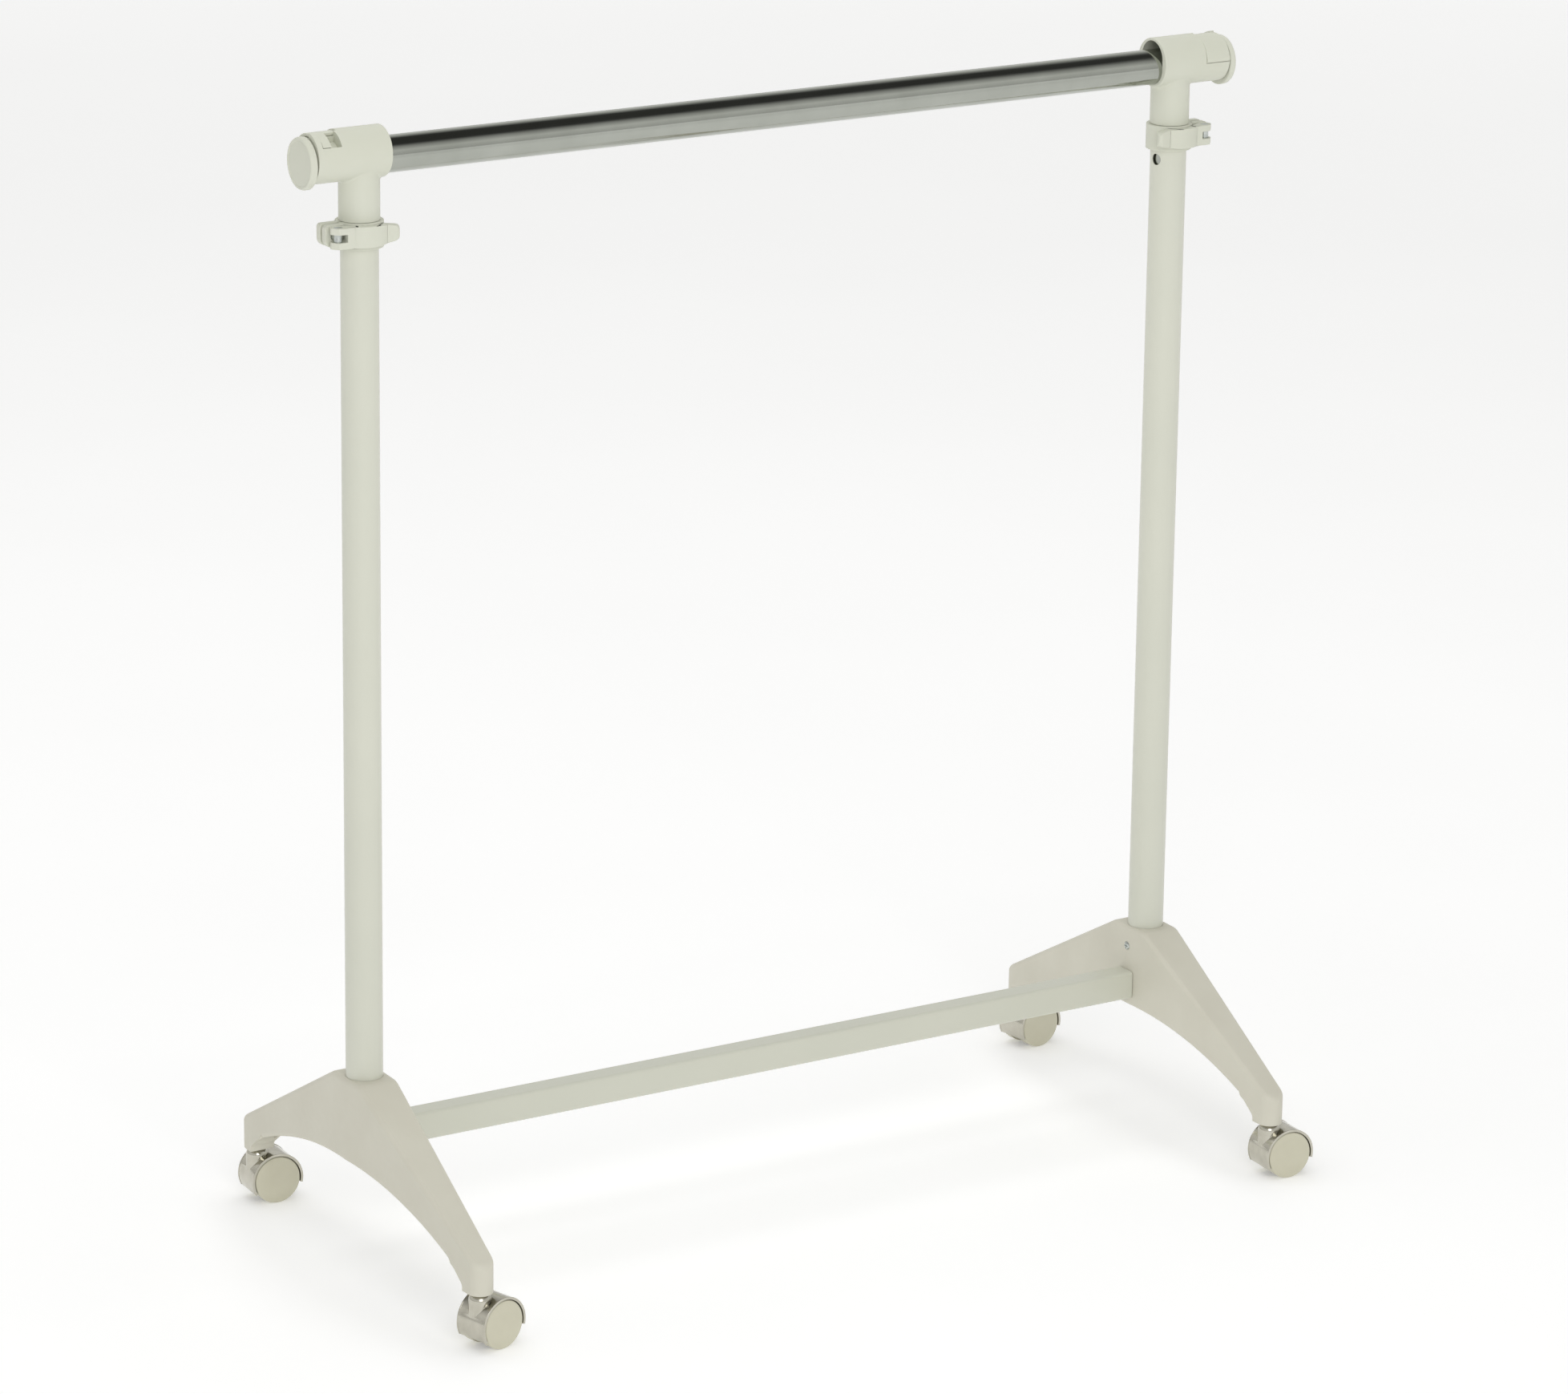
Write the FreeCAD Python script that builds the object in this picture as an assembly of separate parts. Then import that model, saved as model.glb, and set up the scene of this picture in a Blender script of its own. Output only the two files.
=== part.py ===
import FreeCAD, Part
import math
import os
from FreeCAD import Placement, Rotation, Vector

# Rolling garment rail: two telescopic posts on moulded feet, a cross bar below,
# and a chrome hanging rail with a pull-out arm in each end.
# X runs along the rail, -Y is the front, Z is up. The origin is on the floor, in the middle.

# ---- driving dimensions, mm ----
POST_X = 380.0            # post axis from the middle
FOOT_REACH = 187.0        # caster stem from the post axis, front and back
LIFT = 600.0              # travel of the height adjustment
ARM_TRAVEL = 300.0        # travel of each pull-out arm

POST_R = 15.0
POST_WALL = 1.2
POST_BOTTOM = 134.0
POST_TOP = 860.0
STOP_HOLE_R = 4.7
STOP_HOLE_Z = 837.0
STOP_HOLE_TURN = 12.0     # degrees from straight inboard towards the front

INNER_R = 12.5
INNER_WALL = 1.0
INNER_BOTTOM = 162.0
INNER_TOP = 897.0

RAIL_Z = 914.5
RAIL_R = 14.65
RAIL_WALL = 1.2
RAIL_PAST_POST = 10.0     # rail end, outboard of the post axis

ARM_R = 12.5
ARM_WALL = 1.0
ARM_OUT = 46.0            # arm's outer end from the post axis
ARM_IN = 335.0            # arm's inner end, inboard of the post axis

TEE_RISE = 3.6            # tee body axis above the rail axis
TEE_R = 20.5
TEE_IN = 19.0             # tee mouth, inboard of the post axis
TEE_OUT = 45.0            # tee's outer end
TEE_BORE_END = 12.0
TEE_HEADROOM = 7.2        # free height over the rail in the tee's mouth
STEM_R = 16.2
STEM_BOTTOM = 866.3

CAP_R = 20.6
CAP_FACE = 52.0           # cap's outer face from the post axis

COLLAR_R = 19.0
COLLAR_BOTTOM = 845.0
COLLAR_TOP = 866.0

BAR_DEPTH = 20.0
BAR_BOTTOM = 106.0
BAR_TOP = 130.0
BAR_WALL = 1.2

WHEEL_R = 20.0
CASTER_HALF_WIDTH = 15.4
CASTER_TRAIL = 12.0
# each caster's corner of the frame (X side, Y side) and the degrees it has turned from straight
CASTERS = {
    "front_left": (-1, -1, 14.0),
    "front_right": (1, -1, -4.0),
    "back_left": (-1, 1, -4.0),
    "back_right": (1, 1, 7.0),
}

FIT = 0.05                # radial gap of a fixed fit
RUN = 0.1                 # radial gap of a running or sliding fit
GAP = 0.3                 # gap between pieces that pass each other

X, Y, Z = Vector(1, 0, 0), Vector(0, 1, 0), Vector(0, 0, 1)
TEE_Z = RAIL_Z + TEE_RISE


# ---- small helpers ----
def cyl(r, start, axis, length):
    return Part.makeCylinder(r, length, start, axis)


def tube(r_out, r_in, start, axis, length):
    return cyl(r_out, start, axis, length).cut(cyl(r_in, start - axis, axis, length + 2))


def block(x0, x1, y0, y1, z0, z1):
    return Part.makeBox(x1 - x0, y1 - y0, z1 - z0, Vector(x0, y0, z0))


def fuse(first, *others):
    return first.multiFuse(list(others)).removeSplitter()


def outline(points, radii):
    """Closed outline through points, each corner rounded by its radius."""
    edges = []
    ends = []
    count = len(points)
    for i, (corner, r) in enumerate(zip(points, radii)):
        before = (points[i - 1] - corner).normalize()
        after = (points[(i + 1) % count] - corner).normalize()
        if r == 0:
            ends.append((corner, None, corner))
            continue
        half = before.getAngle(after) / 2
        back = r / math.tan(half)
        middle = (before + after).normalize()
        centre = corner + middle * (r / math.sin(half))
        ends.append((corner + before * back, centre - middle * r, corner + after * back))
    for i, (start, mid, end) in enumerate(ends):
        if mid is not None:
            edges.append(Part.Arc(start, mid, end).toShape())
        following = ends[(i + 1) % count][0]
        if (following - end).Length > 1e-6:
            edges.append(Part.LineSegment(end, following).toShape())
    return Part.Wire(edges)


def prism(points, radii, sweep):
    return Part.Face(outline(points, radii)).extrude(sweep)


def turned(points, base, axis):
    """Solid turned about axis; points are (radius, distance along axis)."""
    side = Vector(0, 0, 1) if abs(axis.z) < 0.5 else Vector(1, 0, 0)
    corners = [base + side * r + axis * along for r, along in points]
    return Part.Face(Part.makePolygon(corners + corners[:1])).revolve(base, axis, 360)


def sector(r_in, r_out, centre, axis, length, start, end):
    """Part of a ring about axis, from angle start to end, counted by the right-hand rule.
    Zero degrees is +Z for a ring along X, and +X for a ring along Z or Y."""
    zero = Vector(0, 0, 1) if abs(axis.x) > 0.5 else Vector(1, 0, 0)
    side = axis.cross(zero)

    def at(r, degrees):
        a = math.radians(degrees)
        return centre + zero * (r * math.cos(a)) + side * (r * math.sin(a))

    mid = (start + end) / 2
    edges = [
        Part.Arc(at(r_out, start), at(r_out, mid), at(r_out, end)).toShape(),
        Part.LineSegment(at(r_out, end), at(r_in, end)).toShape(),
        Part.Arc(at(r_in, end), at(r_in, mid), at(r_in, start)).toShape(),
        Part.LineSegment(at(r_in, start), at(r_out, start)).toShape(),
    ]
    return Part.Face(Part.Wire(edges)).extrude(axis * length)


def link(a, r_a, b, r_b, height):
    """Upright web between two round posts, its sides tangent to both."""
    along = b - a
    lean = math.acos((r_a - r_b) / along.Length)
    heading = math.atan2(along.y, along.x)

    def rim(centre, r, angle):
        return centre + Vector(math.cos(angle), math.sin(angle), 0) * r

    corners = [rim(a, r_a, heading + lean), rim(a, r_a, heading - lean)]
    corners += [rim(b, r_b, heading - lean), rim(b, r_b, heading + lean)]
    web = Part.Face(Part.makePolygon(corners + corners[:1])).extrude(Z * height)
    return fuse(web, cyl(r_a, a, Z, height), cyl(r_b, b, Z, height))


def moved(shape, x=0.0, y=0.0, z=0.0, turn=0.0):
    copy = shape.copy()
    place = Placement(Vector(x, y, z), Rotation(Z, turn))
    copy.transformShape(place.toMatrix(), True)
    return copy


def mirrored(shape):
    return shape.mirror(Vector(0, 0, 0), X)


def rounded(shape, r, wanted):
    """Fillet every edge whose middle point passes the test."""
    edges = []
    for edge in shape.Edges:
        first, last = edge.ParameterRange
        if wanted(edge.valueAt((first + last) / 2), edge):
            edges.append(edge)
    return shape.makeFillet(r, edges)


def runs_along(edge, axis):
    span = edge.valueAt(edge.LastParameter) - edge.valueAt(edge.FirstParameter)
    return abs(span.dot(axis)) > 0.9 * edge.Length


def save(name, *solids):
    shape = solids[0] if len(solids) == 1 else Part.makeCompound(list(solids))
    for solid in shape.Solids:
        assert solid.isValid(), name
    shape.exportStep(f"parts/{name}.step")


def save_turned_pair(name, shape):
    """A piece used at both ends, turned half round for the left one."""
    save(f"right_{name}", moved(shape, POST_X))
    save(f"left_{name}", moved(shape, -POST_X, turn=180))


def save_mirrored_pair(name, shape):
    right = moved(shape, POST_X)
    save(f"right_{name}", right)
    save(f"left_{name}", mirrored(right))


def save_both_sides(name, shape):
    """The same small piece on both sides, as two solids in one node."""
    right = moved(shape, POST_X)
    save(name, right, mirrored(right))


# ---- feet ----
HUB_HALF = 19.0
HUB_TOP = 168.0
PLATEAU = 22.0            # level top of the hub, front and back of the post axis
TOP_SLOPE = 0.55
BOSS_R = 10.5
BOSS_BOTTOM = 46.5
ARCH_TOP = 98.0
ARCH_R = 391.0
ARCH_END = 165.0
SHELL = 3.0
SCREW_Z = 151.0
SLEEVE_R = 6.0
SLEEVE_TOP = 62.0
SPIGOT = 22.0             # foot's spigot inside the cross bar
BAR_SCREW_X = -32.0       # bar screw, inboard of the post axis
BAR_END = POST_X - HUB_HALF - FIT


def foot_plan(inset, z):
    """Upright prism of the foot seen from above: widest at the post, with a round boss at each end."""
    hub, end = HUB_HALF - inset, BOSS_R - inset
    parts = []
    for s in (-1, 1):
        reach = math.hypot(hub, FOOT_REACH)
        angle = math.atan2(hub, FOOT_REACH) + math.acos(end / reach)
        touch = Vector(end * math.sin(angle), s * (FOOT_REACH - end * math.cos(angle)), z)
        corners = [Vector(hub, 0, z), touch, Vector(-touch.x, touch.y, z), Vector(-hub, 0, z)]
        parts.append(Part.Face(Part.makePolygon(corners + corners[:1])).extrude(Z * 200))
        parts.append(cyl(end, Vector(0, s * FOOT_REACH, z), Z, 200))
    return fuse(*parts)


def bar_section(inset, r, start, end):
    """Stretch of the cross bar's outline along X, taken in by inset, its long edges rounded by r."""
    y, low, high = BAR_DEPTH / 2 - inset, BAR_BOTTOM + inset, BAR_TOP - inset
    corners = [Vector(start, y, low), Vector(start, y, high), Vector(start, -y, high), Vector(start, -y, low)]
    return prism(corners, [r] * 4, X * (end - start))


def foot():
    """Right foot about its post axis: an arched beam, hollow below, with a caster boss at each end
    and a spigot for the cross bar."""
    toe = FOOT_REACH + BOSS_R + 3
    arch_end_z = ARCH_TOP - ARCH_R + math.sqrt(ARCH_R**2 - ARCH_END**2)

    def top_at(y):
        return HUB_TOP - TOP_SLOPE * (y - PLATEAU)

    half = [(PLATEAU, HUB_TOP, 14.0), (toe, top_at(toe), 0.0), (toe, BOSS_BOTTOM, 0.0)]
    side = half + [(-y, z, r) for y, z, r in reversed(half)]
    points = [Vector(-HUB_HALF - 1, y, z) for y, z, _ in side]
    beam = prism(points, [r for _, _, r in side], X * (2 * HUB_HALF + 2))
    body = beam.common(foot_plan(0, 0)).Solids[0]
    body = rounded(body, 4.0, lambda p, e: p.z > 65 and not runs_along(e, X) and not runs_along(e, Z))
    low = 30.0
    boss_side = FOOT_REACH - BOSS_R + 1
    under = [(boss_side, low), (boss_side, BOSS_BOTTOM + 5), (ARCH_END, arch_end_z)]
    under += [(-y, z) for y, z in reversed(under)]
    gap = prism([Vector(-30, y, z) for y, z in under], [0, 5, 0, 0, 5, 0], X * 60)
    arch = cyl(ARCH_R, Vector(-30, 0, ARCH_TOP - ARCH_R), X, 60)
    arch = arch.common(block(-30, 30, -ARCH_END, ARCH_END, low, ARCH_TOP + 1))
    body = body.cut(fuse(gap, arch))
    near, far = 27.0, boss_side - 6
    for s in (-1, 1):
        roof = [(near, low), (near, top_at(near) - 5), (far, top_at(far) - 5), (far, low)]
        hollow = prism([Vector(-30, s * y, z) for y, z in roof], [0, 5, 5, 0], X * 60)
        body = body.cut(hollow.common(foot_plan(SHELL, low)))
        body = body.cut(cyl(SLEEVE_R + FIT, Vector(0, s * FOOT_REACH, low), Z, SLEEVE_TOP - low + 1))
    body = body.cut(cyl(POST_R + FIT, Vector(0, 0, POST_BOTTOM), Z, 100))
    body = body.cut(cyl(1.75 + FIT, Vector(-30, 0, SCREW_Z), X, 20))
    body = body.cut(cyl(3.6, Vector(-30, 0, SCREW_Z), X, 30 - HUB_HALF + 1.2))
    spigot = bar_section(BAR_WALL + FIT, 1.4, -HUB_HALF - SPIGOT, -HUB_HALF + 1)
    spigot = spigot.cut(cyl(2.0 + FIT, Vector(BAR_SCREW_X, 0, BAR_BOTTOM), Z, 16))
    return fuse(body, spigot)


def post_screw():
    """Pan-head screw from the foot's inboard face into the post."""
    head_x = -HUB_HALF - 0.6
    head = turned([(0, 0), (2.6, 0), (3.5, 0.8), (3.5, 1.8), (0, 1.8)], Vector(head_x, 0, SCREW_Z), X)
    shank = cyl(1.75, Vector(head_x + 1.5, 0, SCREW_Z), X, 5.0)
    slot = block(head_x - 1, head_x + 0.9, -0.45, 0.45, SCREW_Z - 2.4, SCREW_Z + 2.4)
    cross = block(head_x - 1, head_x + 0.9, -2.4, 2.4, SCREW_Z - 0.45, SCREW_Z + 0.45)
    return fuse(head, shank).cut(fuse(slot, cross))


def bar_screw():
    """Screw up through the cross bar's bottom wall into the foot's spigot."""
    head_z = BAR_BOTTOM - FIT - 1.9
    base = Vector(BAR_SCREW_X, 0, head_z)
    head = turned([(0, 0), (3.0, 0), (4.0, 1.0), (4.0, 1.9), (0, 1.9)], base, Z)
    shank = cyl(2.0, base + Z * 1.5, Z, 14)
    slot = block(BAR_SCREW_X - 2.6, BAR_SCREW_X + 2.6, -0.5, 0.5, head_z - 1, head_z + 1)
    cross = block(BAR_SCREW_X - 0.5, BAR_SCREW_X + 0.5, -2.6, 2.6, head_z - 1, head_z + 1)
    return fuse(head, shank).cut(fuse(slot, cross))


def cross_bar():
    """Rectangular tube with rounded corners, pushed over a spigot on each foot."""
    bar = bar_section(0, 2.5, -BAR_END, BAR_END).cut(bar_section(BAR_WALL, 1.3, -BAR_END - 1, BAR_END + 1))
    for s in (-1, 1):
        hole_x = s * (POST_X + BAR_SCREW_X)
        bar = bar.cut(cyl(2.0 + FIT, Vector(hole_x, 0, BAR_BOTTOM - 1), Z, 5))
    return bar


# ---- posts and what slides in them ----
def inboard_front(turn):
    a = math.radians(turn)
    return Vector(-math.cos(a), -math.sin(a), 0)


def post():
    pipe = tube(POST_R, POST_R - POST_WALL, Z * POST_BOTTOM, Z, POST_TOP - POST_BOTTOM)
    pipe = pipe.cut(cyl(STOP_HOLE_R, Z * STOP_HOLE_Z, inboard_front(STOP_HOLE_TURN), 30))
    return pipe.cut(cyl(1.75 + FIT, Vector(-30, 0, SCREW_Z), X, 30))


def post_bush():
    """Plastic sleeve in the post's mouth."""
    bottom = COLLAR_BOTTOM - 1
    return tube(POST_R - POST_WALL - FIT, INNER_R + RUN, Z * bottom, Z, POST_TOP - bottom)


def inner_tube():
    pipe = tube(INNER_R, INNER_R - INNER_WALL, Z * INNER_BOTTOM, Z, INNER_TOP - INNER_BOTTOM)
    button_z = STOP_HOLE_Z - LIFT
    return pipe.cut(cyl(4.2, Z * button_z, inboard_front(STOP_HOLE_TURN), 30))


def guide_bush():
    """Plastic sleeve round the inner tube's foot, which runs in the post."""
    return tube(POST_R - POST_WALL - RUN, INNER_R + 0.02, Z * (INNER_BOTTOM + 2), Z, 28)


def stop_clip():
    """Bent spring with a button, which meets the post's hole at full height. Built facing +X."""
    z = STOP_HOLE_Z - LIFT
    button = turned([(0, 10.2), (4.0, 10.2), (4.0, 12.6), (2.6, 13.5), (0, 13.5)], Z * z, X)
    leaf = block(9.2, 10.2, -4.5, 4.5, z - 26, z + 7)
    back = block(-10.2, -9.2, -4.5, 4.5, z - 26, z + 2)
    bend = sector(9.2, 10.2, Vector(0, -4.5, z - 26), Y, 9, 0, 180)
    clip = fuse(button, leaf, back, bend)
    return moved(clip, turn=180 + STOP_HOLE_TURN)


# ---- rail, arms and end caps ----
def rail():
    end = POST_X + RAIL_PAST_POST
    return tube(RAIL_R, RAIL_R - RAIL_WALL, Vector(-end, 0, RAIL_Z), X, 2 * end)


def rail_end_bush():
    start = Vector(-8, 0, RAIL_Z)
    sleeve = tube(RAIL_R - RAIL_WALL - FIT, ARM_R + RUN, start, X, 8 + RAIL_PAST_POST)
    lip = tube(RAIL_R - 0.3, ARM_R + RUN, Vector(RAIL_PAST_POST + FIT, 0, RAIL_Z), X, 1.6)
    neck = tube(RAIL_R - RAIL_WALL - FIT, ARM_R + RUN, Vector(RAIL_PAST_POST - 1, 0, RAIL_Z), X, 2)
    return fuse(sleeve, neck, lip)


def arm():
    return tube(ARM_R, ARM_R - ARM_WALL, Vector(-ARM_IN, 0, RAIL_Z), X, ARM_IN + ARM_OUT)


def arm_bush():
    return tube(RAIL_R - RAIL_WALL - RUN, ARM_R + 0.02, Vector(-ARM_IN, 0, RAIL_Z), X, 20)


def end_cap():
    """Round cap with a spigot in the arm, a neck, and a disc with a raised rim."""
    spigot_r = ARM_R - ARM_WALL - FIT
    neck = TEE_OUT + GAP
    disc = neck + 1.0
    groove_r = CAP_R - 1.0
    rim = CAP_R - 2.6
    profile = [(0, neck - 16), (spigot_r - 1, neck - 16), (spigot_r, neck - 15)]
    profile += [(spigot_r, ARM_OUT + FIT), (groove_r, ARM_OUT + FIT)]
    profile += [(groove_r, disc), (CAP_R - 0.6, disc), (CAP_R, disc + 0.6)]
    profile += [(CAP_R, CAP_FACE - 2.2), (CAP_R - 0.5, CAP_FACE - 0.9), (CAP_R - 1.4, CAP_FACE)]
    profile += [(rim + 0.4, CAP_FACE), (rim - 0.3, CAP_FACE - 0.7), (0, CAP_FACE - 0.7)]
    return turned(profile, Vector(0, 0, RAIL_Z), X)


# ---- tee and its rail lock ----
LOCK_AXIS_Z = RAIL_Z + 1.0
LOCK_R = 22.0
LOCK_WALL = 3.0
LOCK_IN = 22.0            # lock's inboard edge from the post axis
LOCK_OUT = 44.7
PIN_Y = -18.0
PIN_Z = 919.6
PIN_R = 1.25
KNUCKLE_R = 3.4
TONGUE = (33.0, 40.0)
WINDOW = (24.0, 40.4)
HINGE_SIDE, CREST, TIP = 79.0, -8.0, -53.0   # degrees about X from the top towards the hinge
PAD = (30.0, 36.0)
PAD_SPAN = (8.0, 40.0)


def tee():
    """Round head on a stem. The rail lies in a mouth with room above it, and the arm passes on."""
    head = cyl(TEE_R, Vector(-TEE_IN, 0, TEE_Z), X, TEE_IN + TEE_OUT)
    stem = cyl(STEM_R, Z * STEM_BOTTOM, Z, TEE_Z - STEM_BOTTOM)
    body = fuse(head, stem)
    body = rounded(body, 2.5, lambda p, e: p.z > TEE_Z - TEE_R - 3 and e.Length > 40
                   and abs(p.x) < STEM_R + 1 and p.z < TEE_Z - 1)
    body = rounded(body, 1.0, lambda p, e: abs(p.x + TEE_IN) < 0.01 and e.Curve.TypeId.endswith("Circle"))
    mouth_r, mouth_top = RAIL_R + FIT, RAIL_Z + TEE_HEADROOM
    for z in (RAIL_Z, mouth_top):
        body = body.cut(cyl(mouth_r, Vector(-TEE_IN - 1, 0, z), X, TEE_IN + 1 + TEE_BORE_END))
    body = body.cut(block(-TEE_IN - 1, TEE_BORE_END, -mouth_r, mouth_r, RAIL_Z, mouth_top))
    body = body.cut(cyl(ARM_R + GAP, Vector(0, 0, RAIL_Z), X, TEE_OUT + 1))
    body = body.cut(cyl(INNER_R + 0.02, Z * (STEM_BOTTOM - 1), Z, INNER_TOP - STEM_BOTTOM + 1))
    centre = Vector(LOCK_IN - GAP, 0, LOCK_AXIS_Z)
    seat_r = LOCK_R - LOCK_WALL - GAP
    length = TEE_OUT + 1 - centre.x
    body = body.cut(sector(seat_r, 30, centre, X, length, CREST - 1, HINGE_SIDE + 3))
    window = Vector(WINDOW[0], 0, LOCK_AXIS_Z)
    body = body.cut(sector(seat_r, 30, window, X, WINDOW[1] - WINDOW[0], TIP - 1.5, CREST))
    body = body.cut(sector(14.6, 20, window, X, TONGUE[0] - 1 - WINDOW[0], TIP - 1.5, CREST - 6))
    body = body.cut(cyl(KNUCKLE_R + 0.4, Vector(centre.x, PIN_Y, PIN_Z), X, length))
    pad_slot = Vector(PAD[0] - 0.5, 0, RAIL_Z)
    body = body.cut(sector(ARM_R, 22, pad_slot, X, PAD[1] - PAD[0] + 1, PAD_SPAN[0] - 5, PAD_SPAN[1] + 5))
    return body.cut(cyl(PIN_R + FIT, Vector(LOCK_IN - 6, PIN_Y, PIN_Z), X, 40))


def rail_lock():
    """Arched flap hinged low on one side. Its tongue snaps into the tee's window on the other."""
    start = Vector(LOCK_IN, 0, LOCK_AXIS_Z)
    length = LOCK_OUT - LOCK_IN
    r_in = LOCK_R - LOCK_WALL
    arch = sector(r_in, LOCK_R, start, X, length, CREST, HINGE_SIDE)
    arch = rounded(arch, 1.2, lambda p, e: (p - Vector(p.x, 0, LOCK_AXIS_Z)).Length > LOCK_R - 0.1
                   and abs(p.x - LOCK_IN) < 0.01)
    tongue = sector(r_in, LOCK_R, Vector(TONGUE[0], 0, LOCK_AXIS_Z), X, TONGUE[1] - TONGUE[0], TIP, CREST + 1)
    knuckle = cyl(KNUCKLE_R, Vector(LOCK_IN, PIN_Y, PIN_Z), X, length)
    pad = sector(ARM_R + 2 * GAP, r_in + 1.5, Vector(PAD[0], 0, RAIL_Z), X, PAD[1] - PAD[0], *PAD_SPAN)
    flap = fuse(arch, tongue, knuckle, pad)
    return flap.cut(cyl(PIN_R + RUN, Vector(0, PIN_Y, PIN_Z), X, 60))


def lock_pin():
    start = LOCK_IN - 5
    return cyl(PIN_R, Vector(start, PIN_Y, PIN_Z), X, LOCK_OUT - start)


# ---- height clamps ----
BOLT_X = 26.0
BOLT_Z = 856.6
BOLT_R = 2.5
SPLIT = 1.5
EAR = 7.5
EAR_RISE = 8.8            # ear above and below the bolt
CAM_R = 6.1
PIVOT = Vector(BOLT_X, -EAR - GAP - CAM_R, 0)
BARREL_R = 3.4
LEVER_HEIGHT = 16.8
LEVER_Z = BOLT_Z - LEVER_HEIGHT / 2
LEVER_IN = COLLAR_R + GAP
LEVER_OUT = 24.8
SLOT_HEIGHT = 6.0
FORK_ROOT = 20.5          # inner end of the slot in the lever's head


def collar():
    """Split ring round the post's mouth, with two ears for the clamp bolt."""
    ring = cyl(COLLAR_R, Z * COLLAR_BOTTOM, Z, COLLAR_TOP - COLLAR_BOTTOM)
    ring = rounded(ring, 1.0, lambda p, e: e.Length > 50)
    top, low, reach = BOLT_Z + EAR_RISE, BOLT_Z - EAR_RISE, BOLT_X + 7.5
    corners = [(8, low), (reach, low), (reach, top), (8, top)]
    ears = prism([Vector(x, -EAR, z) for x, z in corners], [0, 6, 3, 0], Y * (2 * EAR))
    body = fuse(ring, ears)
    body = body.cut(cyl(POST_R + FIT, Z * (COLLAR_BOTTOM - 1), Z, POST_TOP - COLLAR_BOTTOM + 1.2))
    body = body.cut(cyl(INNER_R + RUN, Z * COLLAR_BOTTOM, Z, 40))
    body = body.cut(block(5, 60, -SPLIT, SPLIT, COLLAR_BOTTOM - 1, COLLAR_TOP + 1))
    return body.cut(cyl(BOLT_R + FIT, Vector(BOLT_X, -20, BOLT_Z), Y, 40))


def clamp_bolt():
    start = PIVOT.y - 2.0
    return cyl(BOLT_R, Vector(BOLT_X, start, BOLT_Z), Y, EAR + 5.2 - start)


def clamp_nut():
    hexagon = [Vector(BOLT_X + 4.6 * math.cos(a), EAR + FIT, BOLT_Z + 4.6 * math.sin(a))
               for a in (math.radians(60 * i) for i in range(6))]
    nut = Part.Face(Part.makePolygon(hexagon + hexagon[:1])).extrude(Y * 4)
    return nut.cut(cyl(BOLT_R + 0.02, Vector(BOLT_X, EAR - 1, BOLT_Z), Y, 10))


def lever_barrel():
    """Upright pin through the lever's head, threaded on the bolt."""
    height = LEVER_HEIGHT - 0.6
    barrel = cyl(BARREL_R, PIVOT + Z * (LEVER_Z + 0.3), Z, height)
    return barrel.cut(cyl(BOLT_R + 0.02, PIVOT + Vector(0, -2.5, BOLT_Z), Y, 20))


def clamp_lever():
    """Cam lever that wraps round the front of the collar, its head forked, its tip flared for a finger."""

    def at(r, degrees):
        a = math.radians(degrees)
        return Vector(r * math.sin(a), -r * math.cos(a), LEVER_Z)

    mid_r = (LEVER_IN + LEVER_OUT) / 2
    band_r = (LEVER_OUT - LEVER_IN) / 2
    head_end, tip_end = 38.0, -36.0
    band = sector(LEVER_IN, LEVER_OUT, Z * LEVER_Z, Z, LEVER_HEIGHT, tip_end - 90, head_end - 90)
    head = link(PIVOT + Z * LEVER_Z, CAM_R, at(mid_r, head_end), band_r, LEVER_HEIGHT)
    tip = link(at(mid_r, tip_end), band_r, at(28.6, -48), 3.2, LEVER_HEIGHT)
    lever = fuse(band, head, tip)
    lever = lever.cut(cyl(LEVER_IN, Z * (LEVER_Z - 1), Z, LEVER_HEIGHT + 2))
    lever = lever.cut(block(-10, 50, -EAR - GAP, 20, LEVER_Z - 1, LEVER_Z + LEVER_HEIGHT + 1))
    heading = at(1, -48) - Z * LEVER_Z
    across = Vector(-heading.y, heading.x, 0)
    for level, slope in ((LEVER_Z, 1), (LEVER_Z + LEVER_HEIGHT, -1)):
        wedge = [(20.0, 0.0), (33.0, 3.6 * slope), (33.0, -2.0 * slope), (20.0, -2.0 * slope)]
        corners = [heading * s + Z * (level + z) - across * 25 for s, z in wedge]
        lever = lever.cut(Part.Face(Part.makePolygon(corners + corners[:1])).extrude(across * 50))
    slot = block(FORK_ROOT, 50, -40, 0, BOLT_Z - SLOT_HEIGHT / 2, BOLT_Z + SLOT_HEIGHT / 2)
    relief = cyl(BARREL_R + RUN, PIVOT + Z * (LEVER_Z - 1), Z, LEVER_HEIGHT + 2)
    flat = moved(block(CAM_R - 0.9, 20, -20, 20, 0, 30), turn=-40)
    flat = moved(flat, PIVOT.x, PIVOT.y, LEVER_Z - 5)
    return lever.cut(fuse(slot, relief)).cut(flat)


# ---- casters, about the swivel axis and trailing along +X ----
AXLE = Vector(CASTER_TRAIL, 0, WHEEL_R)
AXLE_R = 2.0
STEM_PIN_R = 4.0
WEB_HALF = 6.2
HOOD_IN = 20.6
HOOD_OUT = 22.4
NECK_TOP = 46.0
WHEEL_IN = WEB_HALF + GAP
WHEEL_OUT = CASTER_HALF_WIDTH - 0.2


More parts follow.
